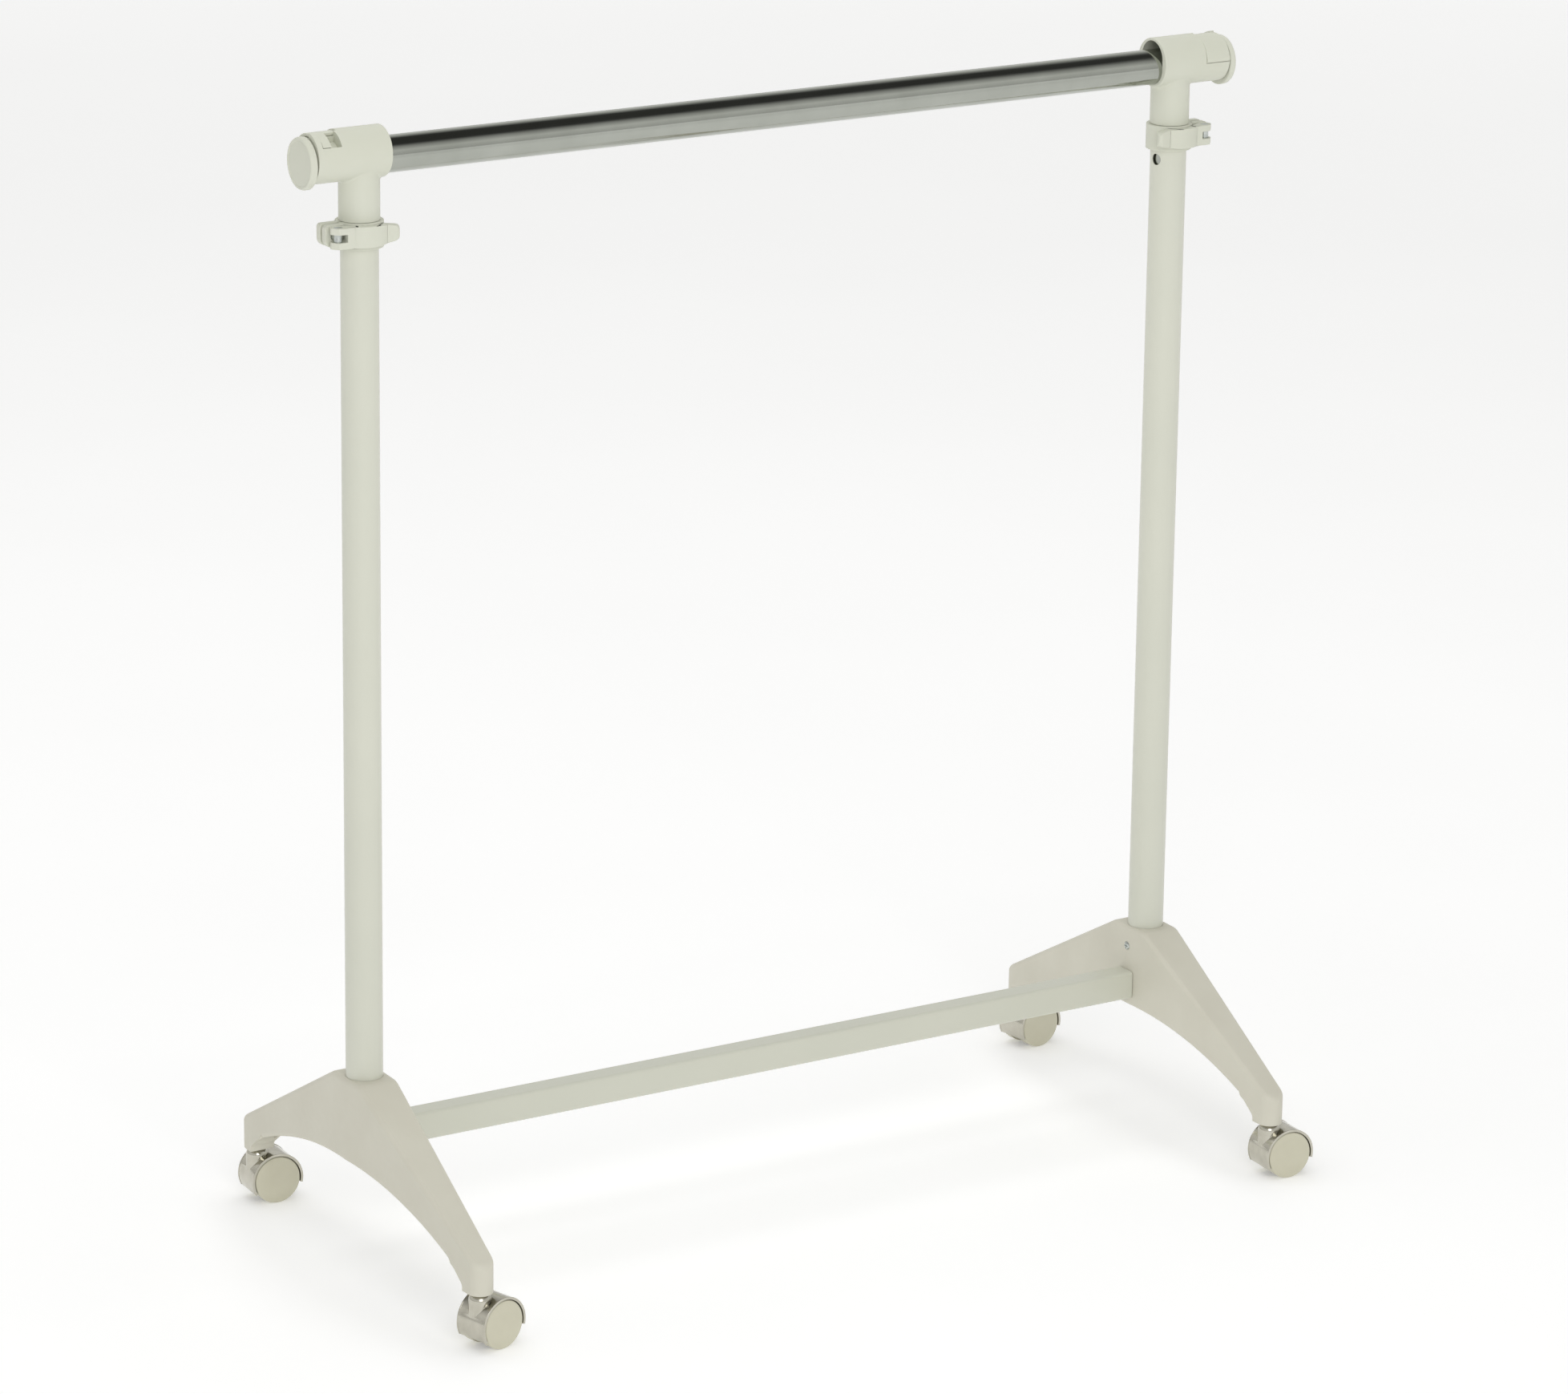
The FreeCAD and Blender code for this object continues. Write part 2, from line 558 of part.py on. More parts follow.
def hood():
    """Chrome cover over both wheels, with a web between them and a domed neck for the stem."""
    side = Vector(AXLE.x, -CASTER_HALF_WIDTH, AXLE.z)
    cover = tube(HOOD_OUT, HOOD_IN, side, Y, 2 * CASTER_HALF_WIDTH)
    rim = [(-CASTER_HALF_WIDTH, 1), (CASTER_HALF_WIDTH - 1.0, 1)]
    for start, length in rim:
        cover = cover.fuse(tube(HOOD_OUT + 0.35, HOOD_IN, Vector(AXLE.x, start, AXLE.z), Y, length))
    web = cyl(HOOD_OUT - 0.5, Vector(AXLE.x, -WEB_HALF, AXLE.z), Y, 2 * WEB_HALF)
    dome = [(9.2, NECK_TOP - 4.9), (8.6, NECK_TOP - 2.9), (7.2, NECK_TOP - 1.2), (5.6, NECK_TOP)]
    neck = turned([(0, 26), (9.2, 26)] + dome + [(0, NECK_TOP)], Vector(0, 0, 0), Z)
    for start in (-CASTER_HALF_WIDTH - 1, WEB_HALF):
        room = cyl(HOOD_IN, Vector(AXLE.x, start, AXLE.z), Y, CASTER_HALF_WIDTH + 1 - WEB_HALF)
        neck = neck.cut(room)
    body = fuse(cover, web, neck)
    lead, trail = math.radians(202), math.radians(-13)
    far = 40.0
    below = [(0, 0), (far * math.cos(trail), far * math.sin(trail)), (far, -far), (-far, -far)]
    below += [(far * math.cos(lead), far * math.sin(lead))]
    corners = [Vector(AXLE.x + x, -30, AXLE.z + z) for x, z in below]
    open_part = Part.Face(Part.makePolygon(corners + corners[:1])).extrude(Y * 60)
    keep = cyl(7.0, Vector(AXLE.x, -WEB_HALF, AXLE.z), Y, 2 * WEB_HALF)
    body = fuse(body.cut(open_part), keep)
    body = body.cut(cyl(AXLE_R + 0.01, Vector(AXLE.x, -20, AXLE.z), Y, 40))
    return body.cut(cyl(STEM_PIN_R + RUN, Vector(0, 0, 26), Z, 30))


def axle():
    return cyl(AXLE_R, Vector(AXLE.x, -13.2, AXLE.z), Y, 26.4)


def wheel(side):
    """Cup-shaped wheel: a plain outer disc, a tread and a hub. side is -1 for the front one."""
    rim_in = WHEEL_R - 2.4
    profile = [(AXLE_R + RUN, WHEEL_IN), (4.6, WHEEL_IN), (4.6, WHEEL_OUT - 2.4), (rim_in, WHEEL_OUT - 2.4)]
    profile += [(rim_in, WHEEL_IN), (WHEEL_R - 0.5, WHEEL_IN), (WHEEL_R, WHEEL_IN + 0.5)]
    profile += [(WHEEL_R, WHEEL_OUT - 1.2), (WHEEL_R - 0.35, WHEEL_OUT - 0.35), (WHEEL_R - 1.2, WHEEL_OUT)]
    profile += [(0, WHEEL_OUT), (0, 13.4), (AXLE_R + RUN, 13.4)]
    return turned(profile, AXLE, Y * side)


def stem():
    grip = tube(STEM_PIN_R, STEM_PIN_R - 0.5, Z * 50, Z, 2)
    return cyl(STEM_PIN_R, Z * 27, Z, 34).cut(grip)


def stem_sleeve():
    return tube(SLEEVE_R, STEM_PIN_R + 0.02, Z * (BOSS_BOTTOM + 0.1), Z, SLEEVE_TOP - BOSS_BOTTOM - 0.1)


def place_caster(shape, x_side, y_side, turn):
    return moved(shape, x_side * POST_X, y_side * FOOT_REACH, turn=turn)


# ---- everything ----
os.makedirs("parts", exist_ok=True)

save_mirrored_pair("foot", foot())
save_mirrored_pair("post", post())
save_mirrored_pair("inner_tube", inner_tube())
save_mirrored_pair("collar", collar())
save_mirrored_pair("clamp_lever", clamp_lever())
save_turned_pair("tee", tee())
save_turned_pair("rail_lock", rail_lock())
save_turned_pair("arm_tube", arm())
save_turned_pair("arm_bush", arm_bush())
save_turned_pair("end_cap", end_cap())
save("cross_bar", cross_bar())
save("hanging_rail", rail())
save("lock_pins", moved(lock_pin(), POST_X), moved(lock_pin(), -POST_X, turn=180))
save_both_sides("post_screws", post_screw())
save_both_sides("bar_screws", bar_screw())
save_both_sides("post_bushes", post_bush())
save_both_sides("guide_bushes", guide_bush())
save_both_sides("stop_clips", stop_clip())
save_both_sides("rail_end_bushes", rail_end_bush())
save_both_sides("clamp_bolts", clamp_bolt())
save_both_sides("clamp_nuts", clamp_nut())
save_both_sides("lever_barrels", lever_barrel())

for corner, place in CASTERS.items():
    save(f"{corner}_caster_hood", place_caster(hood(), *place))
    save(f"{corner}_axle", place_caster(axle(), *place))
    save(f"{corner}_wheel_front", place_caster(wheel(-1), *place))
    save(f"{corner}_wheel_back", place_caster(wheel(1), *place))
save("caster_stems", *[place_caster(stem(), *place) for place in CASTERS.values()])
save("stem_sleeves", *[place_caster(stem_sleeve(), *place) for place in CASTERS.values()])
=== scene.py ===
import math

import bmesh
import bpy
from mathutils import Matrix, Vector


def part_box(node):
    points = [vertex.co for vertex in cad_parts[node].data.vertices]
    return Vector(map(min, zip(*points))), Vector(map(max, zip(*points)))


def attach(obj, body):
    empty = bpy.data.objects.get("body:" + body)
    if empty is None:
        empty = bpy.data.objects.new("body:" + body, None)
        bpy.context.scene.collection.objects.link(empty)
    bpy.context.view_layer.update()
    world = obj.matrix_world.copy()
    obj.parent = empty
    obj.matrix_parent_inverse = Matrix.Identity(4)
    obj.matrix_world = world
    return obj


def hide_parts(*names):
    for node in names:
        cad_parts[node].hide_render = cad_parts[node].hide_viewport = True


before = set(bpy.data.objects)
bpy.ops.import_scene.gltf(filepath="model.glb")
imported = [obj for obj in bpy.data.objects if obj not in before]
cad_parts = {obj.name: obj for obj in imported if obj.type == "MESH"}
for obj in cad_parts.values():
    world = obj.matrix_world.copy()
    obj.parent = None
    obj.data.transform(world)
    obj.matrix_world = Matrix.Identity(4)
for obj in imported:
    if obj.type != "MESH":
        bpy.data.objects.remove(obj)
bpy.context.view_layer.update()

# Rolling garment rail. Local shapes are in millimetres about a post's axis or a caster's stem;
# every finished piece lies in the row frame in metres, with its object at the origin.
MM = 0.001


# ---- materials ----
class Finish:
    """A node material built round one Principled shader, patterned on Object coordinates."""

    def __init__(self, name, roughness, metallic=0.0, **fixed):
        self.material = bpy.data.materials.new(name)
        self.material.use_nodes = True
        self.tree = self.material.node_tree
        self.shader = self.tree.nodes["Principled BSDF"]
        self.shader.inputs["Metallic"].default_value = metallic
        self.shader.inputs["Roughness"].default_value = roughness
        for socket, value in fixed.items():
            self.shader.inputs[socket.replace("_", " ")].default_value = value
        self.coords = self.tree.nodes.new("ShaderNodeTexCoord").outputs["Object"]

    def add(self, kind, **values):
        node = self.tree.nodes.new("ShaderNode" + kind)
        for socket, value in values.items():
            self.feed(node.inputs[socket.replace("_", " ")], value)
        return node

    def feed(self, socket, value):
        if isinstance(value, bpy.types.NodeSocket):
            self.tree.links.new(value, socket)
        else:
            socket.default_value = value

    def grain(self, scale, detail=2.0, stretch=(1.0, 1.0, 1.0)):
        """Noise from 0 to 1. Scale is in features per metre; stretch squeezes it along each axis."""
        mapped = self.add("Mapping", Vector=self.coords, Scale=stretch)
        noise = self.add("TexNoise", Vector=mapped.outputs["Vector"], Scale=scale, Detail=detail)
        return noise.outputs["Fac"]

    def spread(self, value, low, high):
        """Noise, which keeps near its middle, spread over low to high."""
        node = self.add("MapRange", Value=value)
        for socket, edge in (("From Min", 0.3), ("From Max", 0.7), ("To Min", low), ("To Max", high)):
            node.inputs[socket].default_value = edge
        return node.outputs["Result"]

    def colour(self, value, first, second):
        """Base colour that drifts from first to second with the noise."""
        node = self.add("Mix")
        node.data_type = "RGBA"
        self.feed(node.inputs["Factor"], self.spread(value, 0.0, 1.0))
        node.inputs[6].default_value = (*first, 1.0)
        node.inputs[7].default_value = (*second, 1.0)
        self.feed(self.shader.inputs["Base Color"], node.outputs[2])

    def gloss(self, value, low, high):
        self.feed(self.shader.inputs["Roughness"], self.spread(value, low, high))

    def relief(self, *layers):
        """Bump from layers of (noise, depth in millimetres), one on the other."""
        normal = None
        for value, depth in layers:
            node = self.add("Bump", Height=value, Distance=depth * MM)
            if normal is not None:
                self.feed(node.inputs["Normal"], normal)
            normal = node.outputs["Normal"]
        self.feed(self.shader.inputs["Normal"], normal)


def moulded(name, light, dark):
    """Fine-textured moulding with a faint drift of tone."""
    finish = Finish(name, 0.45, Specular_IOR_Level=0.4)
    finish.colour(finish.grain(22.0, 4.0), light, dark)
    finish.gloss(finish.grain(180.0, 3.0), 0.40, 0.52)
    finish.relief((finish.grain(1400.0, 2.0), 0.03), (finish.grain(130.0, 2.0), 0.08))
    return finish.material


def powder_coat(name, light, dark):
    """Satin coat with the low orange-peel of baked powder."""
    finish = Finish(name, 0.32, Coat_Weight=0.12, Coat_Roughness=0.2)
    finish.colour(finish.grain(9.0, 3.0), light, dark)
    finish.gloss(finish.grain(260.0, 2.0), 0.28, 0.38)
    finish.relief((finish.grain(520.0, 1.0), 0.05),)
    return finish.material


def tube_chrome(name, stretch):
    """Bright plate on drawn tube, with faint draw lines along it."""
    finish = Finish(name, 0.1, metallic=1.0)
    lines = finish.grain(1600.0, 2.0, stretch)
    finish.colour(finish.grain(30.0, 3.0), (0.430, 0.445, 0.405), (0.385, 0.400, 0.360))
    finish.gloss(lines, 0.07, 0.15)
    finish.relief((lines, 0.004), (finish.grain(16.0, 1.0), 0.10))
    return finish.material


def hood_chrome():
    """Plate on pressed sheet, which waves a little and so breaks up what it mirrors."""
    finish = Finish("hood_chrome", 0.16, metallic=1.0)
    finish.colour(finish.grain(90.0, 3.0), (0.575, 0.555, 0.480), (0.490, 0.472, 0.400))
    finish.gloss(finish.grain(420.0, 3.0), 0.12, 0.22)
    finish.relief((finish.grain(75.0, 2.0), 0.16), (finish.grain(900.0, 2.0), 0.008))
    return finish.material


def wheel_nylon():
    finish = Finish("wheel_nylon", 0.36, Specular_IOR_Level=0.5)
    finish.colour(finish.grain(60.0, 4.0), (0.590, 0.570, 0.445), (0.560, 0.538, 0.415))
    finish.gloss(finish.grain(500.0, 3.0), 0.30, 0.42)
    finish.relief((finish.grain(1100.0, 2.0), 0.02),)
    return finish.material


def bare_metal(name, light, dark, rough):
    finish = Finish(name, rough, metallic=1.0)
    finish.colour(finish.grain(240.0, 4.0), light, dark)
    finish.gloss(finish.grain(900.0, 3.0), rough - 0.08, rough + 0.10)
    finish.relief((finish.grain(1500.0, 3.0), 0.02),)
    return finish.material


def bush_nylon():
    finish = Finish("natural_nylon", 0.4, Subsurface_Weight=0.05)
    finish.colour(finish.grain(120.0, 3.0), (0.72, 0.72, 0.69), (0.66, 0.66, 0.62))
    finish.gloss(finish.grain(600.0, 2.0), 0.34, 0.46)
    finish.relief((finish.grain(900.0, 2.0), 0.02),)
    return finish.material


ALONG_X, ALONG_Z = (0.006, 1.0, 1.0), (1.0, 1.0, 0.006)
FOOT_MOULDING = moulded("foot_moulding", (0.640, 0.622, 0.530), (0.612, 0.592, 0.500))
TEE_MOULDING = moulded("tee_moulding", (0.632, 0.642, 0.552), (0.610, 0.620, 0.524))
POWDER_COAT = powder_coat("post_coat", (0.635, 0.640, 0.550), (0.612, 0.620, 0.532))
BAR_COAT = powder_coat("bar_coat", (0.610, 0.615, 0.525), (0.585, 0.593, 0.505))
RAIL_CHROME = tube_chrome("rail_chrome", ALONG_X)
POST_CHROME = tube_chrome("post_chrome", ALONG_Z)
HOOD_CHROME = hood_chrome()
WHEEL_NYLON = wheel_nylon()
ZINC_PLATE = bare_metal("zinc_plate", (0.62, 0.65, 0.62), (0.46, 0.49, 0.47), 0.34)
SPRING_STEEL = bare_metal("spring_steel", (0.42, 0.43, 0.45), (0.33, 0.34, 0.36), 0.38)
BUSH_NYLON = bush_nylon()

CORNERS = ("front_left", "front_right", "back_left", "back_right")
KEPT = {
    TEE_MOULDING: ["left_tee", "right_tee"],
    ZINC_PLATE: ["post_screws", "bar_screws", "clamp_bolts", "clamp_nuts", "lever_barrels",
                 "caster_stems", "lock_pins"] + [f"{corner}_axle" for corner in CORNERS],
    SPRING_STEEL: ["stop_clips"],
    BUSH_NYLON: ["post_bushes", "guide_bushes", "rail_end_bushes", "stem_sleeves",
                 "left_arm_bush", "right_arm_bush"],
}


def dress_kept_nodes():
    """CAD nodes that stay as they are get the finish of their piece."""
    for material, names in KEPT.items():
        for name in names:
            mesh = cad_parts[name].data
            mesh.materials.clear()
            mesh.materials.append(material)


# ---- sizes taken from the frame, millimetres, X counted from the right post's axis ----
def span(node, about=0.0):
    low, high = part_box(node)
    origin = Vector((about, 0.0, 0.0))
    return Vector(low) / MM - origin, Vector(high) / MM - origin


POST_X = (span("right_post")[0].x + span("right_post")[1].x) / 2
POST, INNER = span("right_post", POST_X), span("right_inner_tube", POST_X)
ARM, CAP = span("right_arm_tube", POST_X), span("right_end_cap", POST_X)
COLLAR, FOOT = span("right_collar", POST_X), span("right_foot", POST_X)
RAIL, BAR = span("hanging_rail"), span("cross_bar")

RAIL_Z = (ARM[0].z + ARM[1].z) / 2
CAP_R, ARM_R, POST_R, INNER_R = CAP[1].z - RAIL_Z, ARM[1].z - RAIL_Z, POST[1].x, INNER[1].x
RAIL_R = (RAIL[1].z - RAIL[0].z) / 2
FIT, RUN, GAP = 0.05, 0.1, 0.3          # fixed fit, running fit, gap between pieces that pass
CLOSE = 1e-3                            # points nearer than this are one point
SHARP = math.radians(34)                # edges that turn by more than this are eased
THICK_WALL, THIN_WALL = 1.2, 1.0        # post, rail and cross bar, then inner tube and arm


# ---- shape helpers: everything is made in millimetres at its own origin ----
IDENTITY = Matrix.Identity(4)
ALONG_X_AXIS = Matrix(((0, 0, 1, 0), (1, 0, 0, 0), (0, 1, 0, 0), (0, 0, 0, 1)))    # (a, b) lie on Y, Z
ALONG_Y_AXIS = Matrix(((1, 0, 0, 0), (0, 0, -1, 0), (0, 1, 0, 0), (0, 0, 0, 1)))   # (a, b) lie on X, Z


def shift(x=0.0, y=0.0, z=0.0):
    return Matrix.Translation((x, y, z))


def spin(degrees, axis="Z"):
    return Matrix.Rotation(math.radians(degrees), 4, axis)


def arc(centre, r, start, end, steps):
    """Points on a circle, angles in degrees."""
    angles = [math.radians(start + (end - start) * i / steps) for i in range(steps + 1)]
    return [(centre[0] + r * math.cos(a), centre[1] + r * math.sin(a)) for a in angles]


def eased(corners, steps=6):
    """Closed outline through corners (a, b, radius), each turned by an arc."""
    line = []
    for i, (a, b, r) in enumerate(corners):
        if r == 0:
            line.append((a, b))
            continue
        corner, following = Vector((a, b)), corners[(i + 1) % len(corners)]
        before = (Vector(corners[i - 1][:2]) - corner).normalized()
        after = (Vector(following[:2]) - corner).normalized()
        half = before.angle(after) / 2
        centre = corner + (before + after).normalized() * (r / math.sin(half))
        first = corner + before * (r / math.tan(half)) - centre
        last = corner + after * (r / math.tan(half)) - centre
        start = math.degrees(math.atan2(first.y, first.x))
        swing = (math.degrees(math.atan2(last.y, last.x)) - start + 180) % 360 - 180
        line += arc(centre, r, start, start + swing, steps)
    return line


def add_object(name, points, faces, edges=()):
    mesh = bpy.data.meshes.new(name)
    mesh.from_pydata(points, edges, faces)
    obj = bpy.data.objects.new(name, mesh)
    bpy.context.scene.collection.objects.link(obj)
    return obj


def settle(obj, place=IDENTITY):
    """Applies the modifier stack and moves the mesh to its place, faces outwards."""
    if obj.modifiers:
        graph = bpy.context.evaluated_depsgraph_get()
        mesh = bpy.data.meshes.new_from_object(obj.evaluated_get(graph))
        obj.modifiers.clear()
        obj.data = mesh
    obj.data.transform(place)
    if place.determinant() < 0:
        obj.data.flip_normals()
    return obj


def twice_area(outline):
    """Twice the area inside a closed outline, above zero when it runs anticlockwise."""
    before = outline[-1:] + outline[:-1]
    return sum(x0 * y1 - x1 * y0 for (x0, y0), (x1, y1) in zip(before, outline))


def prism(name, outline, low, high, place=IDENTITY):
    """Solid on a closed outline, standing from low to high along Z, then placed."""
    count = len(outline)
    line = outline if twice_area(outline) > 0 else outline[::-1]
    points = [(x, y, z) for z in (low, high) for x, y in line]
    faces = [tuple(reversed(range(count))), tuple(range(count, 2 * count))]
    faces += [(i, (i + 1) % count, count + (i + 1) % count, count + i) for i in range(count)]
    return settle(add_object(name, points, faces), place)


def block(name, x, y, z, place=IDENTITY):
    return prism(name, [(x[0], y[0]), (x[1], y[0]), (x[1], y[1]), (x[0], y[1])], z[0], z[1], place)


def turned(name, profile, place=IDENTITY, steps=96):
    """Solid turned about Z from a closed profile (radius, height), then placed."""
    count = len(profile)
    line = profile if twice_area(profile) < 0 else profile[::-1]
    edges = [(i, (i + 1) % count) for i in range(count)]
    edges = [(a, b) for a, b in edges if line[a][0] > 0 or line[b][0] > 0]
    obj = add_object(name, [(r, 0.0, z) for r, z in line], [], edges)
    screw = obj.modifiers.new("turn", "SCREW")
    screw.steps = screw.render_steps = steps
    screw.use_merge_vertices, screw.merge_threshold = True, CLOSE
    settle(obj)
    mesh = bmesh.new()
    mesh.from_mesh(obj.data)
    bmesh.ops.remove_doubles(mesh, verts=mesh.verts, dist=CLOSE)
    bmesh.ops.recalc_face_normals(mesh, faces=mesh.faces)
    mesh.to_mesh(obj.data)
    mesh.free()
    return settle(obj, place)


def rod(name, r, low, high, place=IDENTITY, steps=48):
    return turned(name, [(0, high), (r, high), (r, low), (0, low)], place, steps)


def pipe(name, r, wall, low, high, place=IDENTITY, rings=()):
    """Drawn tube along Z. Rings next to a hole keep the faces round it short."""
    outer = [(r, z) for z in sorted({low, high, *rings}, reverse=True)]
    inner = [(r - wall, z) for z in sorted({low, high, *rings})]
    return turned(name, outer + inner, place)


def bend(name, r_in, r_out, start, end, low, high, place=IDENTITY, steps=32):
    """Part of a ring about Z, from angle start to end."""
    outline = arc((0, 0), r_out, start, end, steps) + arc((0, 0), r_in, end, start, steps)
    return prism(name, outline, low, high, place)


def hull(name, a, r_a, b, r_b, low, high):
    """Upright web between two round posts, its sides tangent to both."""
    along = Vector(b) - Vector(a)
    lean = math.degrees(math.acos((r_a - r_b) / along.length))
    heading = math.degrees(math.atan2(along.y, along.x))
    outline = arc(a, r_a, heading + lean, heading + 360 - lean, 24)
    return prism(name, outline + arc(b, r_b, heading - lean, heading + lean, 24), low, high)


def weld(obj, distance):
    """Merges points closer than distance and drops what has no area left."""
    mesh = bmesh.new()
    mesh.from_mesh(obj.data)
    bmesh.ops.remove_doubles(mesh, verts=mesh.verts, dist=distance)
    bmesh.ops.dissolve_degenerate(mesh, edges=mesh.edges, dist=distance)
    bmesh.ops.recalc_face_normals(mesh, faces=mesh.faces)
    mesh.to_mesh(obj.data)
    mesh.free()


def carve(obj, operation, tools):
    """Joins, cuts or keeps the overlap with helper solids, which are then removed."""
    for tool in tools:
        boolean = obj.modifiers.new(operation.lower(), "BOOLEAN")
        boolean.operation, boolean.object, boolean.solver = operation, tool, "EXACT"
        settle(obj)
        weld(obj, CLOSE)
        bpy.data.objects.remove(tool)
    return obj


def join(obj, *tools):
    return carve(obj, "UNION", tools)


def cut(obj, *tools):
    return carve(obj, "DIFFERENCE", tools)


def add_bevel(obj, width, segments, limit="ANGLE"):
    bevel = obj.modifiers.new("eased_edges", "BEVEL")
    bevel.width, bevel.segments, bevel.limit_method = width, segments, limit
    bevel.angle_limit = SHARP
    bevel.use_clamp_overlap = False
    return bevel


def hand_over(obj, body, node, material, place, ease, segments=3, merge=0.004):
    """Places a local shape in the row frame, eases its edges and lets it stand in for its node."""
    weld(obj, merge)
    settle(obj, Matrix.Scale(MM, 4) @ place)
    obj.data.shade_smooth()
    add_bevel(obj, ease * MM, segments)
    normals = obj.modifiers.new("flat_faces_stay_flat", "WEIGHTED_NORMAL")
    normals.keep_sharp = True
    obj.data.materials.clear()
    obj.data.materials.append(material)
    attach(obj, body)
    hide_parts(node)
    return obj


def mirror_image(side):
    """From the right post's axis to the row frame; the left piece is the right one's mirror image."""
    return Matrix.Diagonal((side, 1, 1, 1)) @ shift(POST_X)


def half_turn(side):
    """From the right post's axis to the row frame; the left piece is the right one turned half round."""
    return (spin(180) if side < 0 else IDENTITY) @ shift(POST_X)


# ---- posts, bar, rail and arms ----
STOP_HOLE_Z, STOP_HOLE_TURN, LIFT = 837.0, 12.0, 600.0
POST_SCREW_Z = 151.0
ARM_OUT, ARM_IN = ARM[1].x, ARM[0].x
BAR_SCREW_X = 348.0


def tube_with_hole(name, r, wall, ends, hole_z, hole_r):
    tube = pipe(name, r, wall, ends[0], ends[1], rings=(hole_z - 7, hole_z + 7))
    aim = shift(z=hole_z) @ spin(180 + STOP_HOLE_TURN) @ ALONG_X_AXIS
    return cut(tube, rod("button_hole", hole_r, r - 5, r + 5, aim))


def make_post(label, side):
    ends = (POST[0].z, POST[1].z)
    post = tube_with_hole(f"{label}_post_tube", POST_R, THICK_WALL, ends, STOP_HOLE_Z, 4.7)
    cut(post, rod("screw_hole", 1.8, -20, -10, shift(z=POST_SCREW_Z) @ ALONG_X_AXIS, 24))
    hand_over(post, "base", f"{label}_post", POWDER_COAT, mirror_image(side), 0.25)
    ends, button_z = (INNER[0].z, INNER[1].z), STOP_HOLE_Z - LIFT
    inner = tube_with_hole(f"{label}_inner_post", INNER_R, THIN_WALL, ends, button_z, 4.2)
    hand_over(inner, "upper_frame", f"{label}_inner_tube", POST_CHROME,
              mirror_image(side), 0.2)


def make_arm(label, side):
    arm = pipe(f"{label}_arm_pipe", ARM_R, THIN_WALL, ARM_IN, ARM_OUT, shift(z=RAIL_Z) @ ALONG_X_AXIS)
    hand_over(arm, f"{label}_arm", f"{label}_arm_tube", RAIL_CHROME,
              half_turn(side), 0.25)


def make_rail():
    rail = pipe("rail_pipe", RAIL_R, THICK_WALL, RAIL[0].x, RAIL[1].x, shift(z=RAIL_Z) @ ALONG_X_AXIS)
    hand_over(rail, "upper_frame", "hanging_rail", RAIL_CHROME, IDENTITY, 0.3)


def make_bar():
    """Rectangular tube: a bare skin of its outline, thickened inwards."""
    y, low, high, end = BAR[1].y, BAR[0].z, BAR[1].z, BAR[1].x
    outline = eased([(y, low, 2.5), (y, high, 2.5), (-y, high, 2.5), (-y, low, 2.5)])
    count = len(outline)
    points = [(x, a, b) for x in (-end, end) for a, b in outline]
    faces = [(i, (i + 1) % count, count + (i + 1) % count, count + i) for i in range(count)]
    bar = add_object("bar_tube", points, faces)
    wall = bar.modifiers.new("wall", "SOLIDIFY")
    wall.thickness, wall.offset, wall.use_even_offset = THICK_WALL, -1.0, True
    settle(bar)
    for side in (-1, 1):
        cut(bar, rod("bar_screw_hole", 2.05, low - 2, low + 3, shift(side * BAR_SCREW_X), 32))
    hand_over(bar, "base", "cross_bar", BAR_COAT, IDENTITY, 0.25)


# ---- feet ----
REACH, HUB_HALF, HUB_TOP = 187.0, FOOT[1].x, FOOT[1].z
BOSS_R, BOSS_BOTTOM = FOOT[1].y - REACH, FOOT[0].z
ARCH_R, ARCH_TOP, ARCH_END = 391.0, 98.0, 165.0
SHELL, FOOT_EASE, SPIGOT = 3.0, 4.0, 22.0


def foot_plan(inset):
    """Outline seen from above: widest at the post, round at each end."""
    hub, end = HUB_HALF - inset, BOSS_R - inset
    side = math.degrees(math.atan2(hub, REACH) + math.acos(end / math.hypot(hub, REACH))) - 90
    back = arc((0, REACH), end, side, 180 - side, 32)
    front = arc((0, -REACH), end, 180 + side, 360 - side, 32)
    return [(hub, 0)] + back + [(-hub, 0)] + front


def foot_top(y):
    return HUB_TOP - 0.55 * (abs(y) - 22)


def foot_side():
    """Outline seen from the side: a level top that slopes to the bosses, over a wide arch."""
    toe, heel = REACH + BOSS_R + 3, REACH - BOSS_R + 1
    centre_z = ARCH_TOP - ARCH_R
    swing = math.degrees(math.asin(ARCH_END / ARCH_R))
    half = [(22, HUB_TOP, 14), (toe, foot_top(toe), 0), (toe, BOSS_BOTTOM, 0), (heel, BOSS_BOTTOM, 0)]
    half += [(heel, BOSS_BOTTOM + 5, 5)]
    under = [(y, z, 0) for y, z in arc((0, centre_z), ARCH_R, 90 - swing, 90 + swing, 64)]
    return eased(half + under + [(-y, z, r) for y, z, r in reversed(half)])


def ease_top(foot):
    """Rounds the long edges between the top and the sides, and round the bosses' tops."""
    mesh = bmesh.new()
    mesh.from_mesh(foot.data)
    bmesh.ops.remove_doubles(mesh, verts=mesh.verts, dist=2e-3)
    weights = mesh.edges.layers.float.new("bevel_weight_edge")
    for edge in mesh.edges:
        if len(edge.link_faces) != 2:
            continue
        tilt = sorted(abs(face.normal.z) for face in edge.link_faces)
        middle = (edge.verts[0].co.z + edge.verts[1].co.z) / 2
        if tilt[0] < 0.05 and tilt[1] > 0.5 and middle > 65:
            edge[weights] = 1.0
    mesh.to_mesh(foot.data)
    mesh.free()
    add_bevel(foot, FOOT_EASE, 6, "WEIGHT")
    settle(foot)


